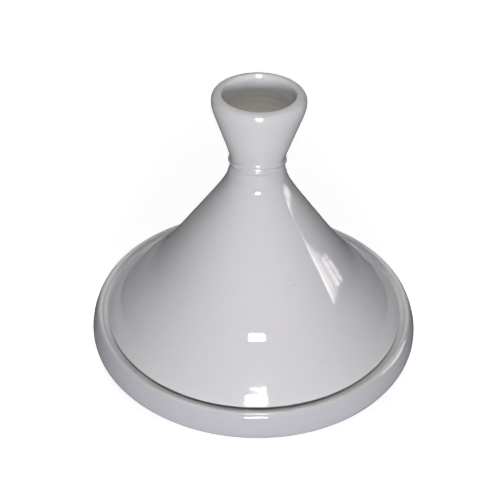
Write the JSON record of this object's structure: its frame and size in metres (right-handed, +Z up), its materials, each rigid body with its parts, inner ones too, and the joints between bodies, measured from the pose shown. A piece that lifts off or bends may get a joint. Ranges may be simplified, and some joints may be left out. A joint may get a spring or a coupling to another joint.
{
  "type": "tagine pot",
  "caption": "Glazed ceramic tagine: shallow round dish on a foot ring, with a loose bell-shaped cone lid, coiled collar and cup-shaped handle.",
  "frame": {"origin": "centre of the foot ring's standing face, on the surface the pot stands on", "axes": "+Z up along the pot's axis of rotation, which is also the way the lid lifts"},
  "size_m": [0.27, 0.27, 0.239],
  "materials": {
    "white_glaze": "glossy, slightly greyish white glaze",
    "bare_clay": "matt unglazed buff earthenware"
  },
  "bodies": {
    "dish": {"dish_bowl": "white_glaze", "dish_foot_ring": "bare_clay"},
    "lid": {"lid_cone": "white_glaze", "lid_collar": "white_glaze", "lid_knob": "white_glaze"}
  },
  "joints": [
    {"name": "lid_lift", "type": "slide", "parent": "dish", "child": "lid", "axis": [0, 0, 1], "range_m": [0, 0.15]}
  ]
}
